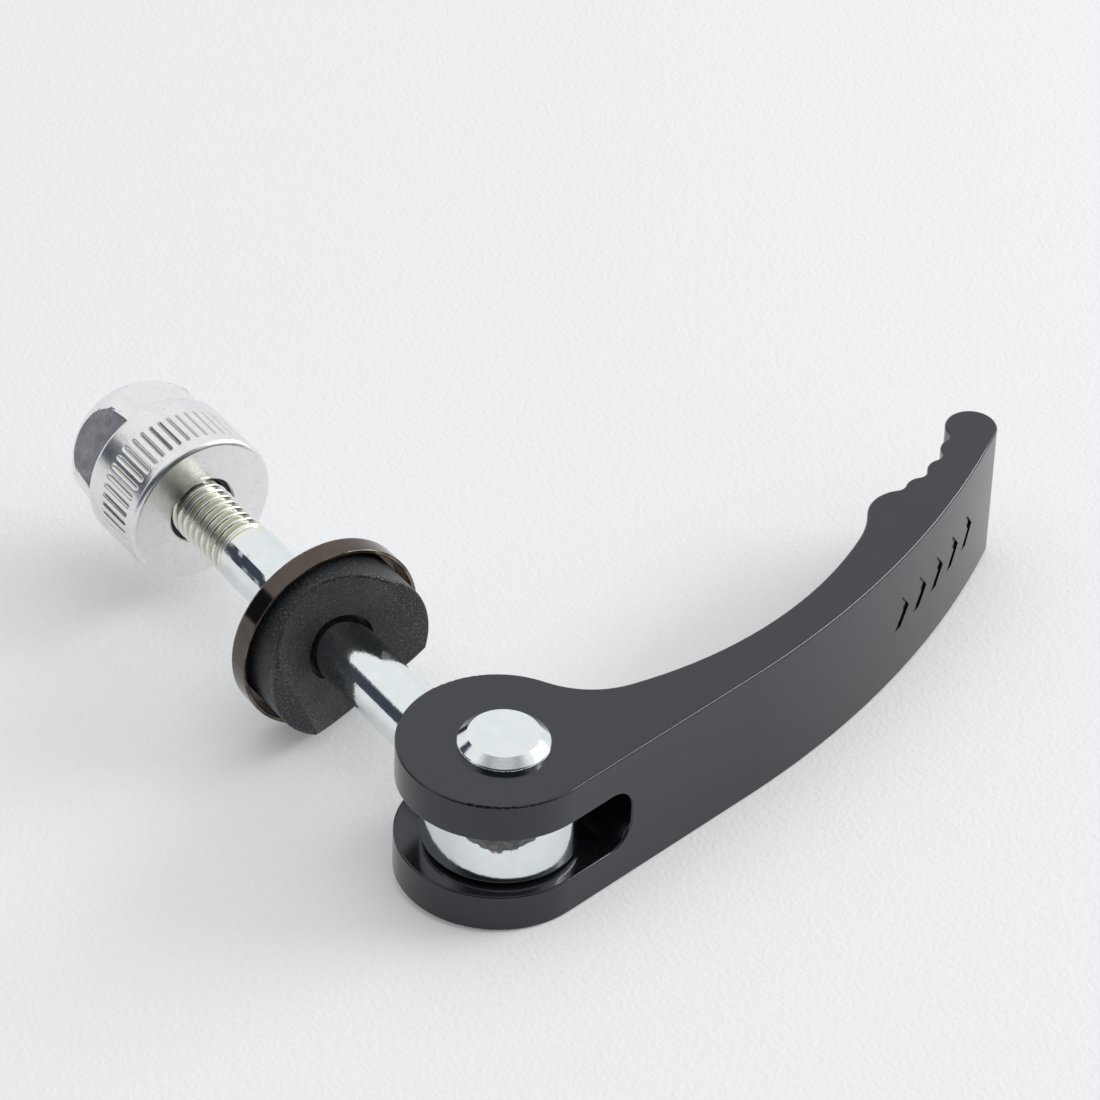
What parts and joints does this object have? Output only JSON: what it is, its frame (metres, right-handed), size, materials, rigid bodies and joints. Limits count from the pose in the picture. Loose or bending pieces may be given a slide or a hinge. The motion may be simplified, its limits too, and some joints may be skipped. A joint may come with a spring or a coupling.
{
  "type": "quick release seatpost clamp",
  "caption": "Cam-lever quick release for a bicycle seatpost clamp: slotted lever riveted to an eye bolt, with a cup washer, cam saddle and domed knurled nut.",
  "frame": {"origin": "on the bolt's axis, in the plane of the cup washer's bearing face, which meets the clamp", "axes": "+X along the bolt from the lever to the nut, +Z along the lever's pivot pin to its head, and the shut lever reaches towards -Y"},
  "size_m": [0.0746, 0.0744, 0.0186],
  "materials": {
    "black_lever": "satin black anodised",
    "zinc_plated": "bright zinc plated",
    "black_nickel": "shiny dark nickel plated",
    "black_nylon": "fine grained, matte",
    "bright_alloy": "turned bright",
    "grey_nylon": "matte"
  },
  "bodies": {
    "bolt": {"eye_bolt": "zinc_plated"},
    "lever": {"lever": "black_lever", "pivot_pin": "zinc_plated"},
    "cup": {"cup_washer": "black_nickel"},
    "saddle": {"cam_saddle": "black_nylon"},
    "ring": {"lock_ring": "grey_nylon"},
    "nut": {"knurled_nut": "bright_alloy"}
  },
  "joints": [
    {"name": "lever_pivot", "type": "hinge", "parent": "bolt", "child": "lever", "pos_m": [-0.03, 0, 0], "axis": [0, 0, 1], "range_deg": [-180, 0]},
    {"name": "cup_slide", "type": "slide", "parent": "bolt", "child": "cup", "axis": [1, 0, 0], "range_m": [-0.0138, 0.008]},
    {"name": "saddle_turn", "type": "hinge", "parent": "cup", "child": "saddle", "pos_m": [0, 0, 0], "axis": [1, 0, 0], "continuous": true},
    {"name": "ring_slide", "type": "slide", "parent": "bolt", "child": "ring", "axis": [1, 0, 0], "range_m": [-0.006, 0.004]},
    {"name": "nut_turn", "type": "hinge", "parent": "ring", "child": "nut", "pos_m": [0.0198, 0, 0], "axis": [1, 0, 0], "range_deg": [-2160, 1440]}
  ],
  "couplings": [
    {"joint": "ring_slide", "follows": "nut_turn", "m_per_rad": 0.00015915}
  ]
}
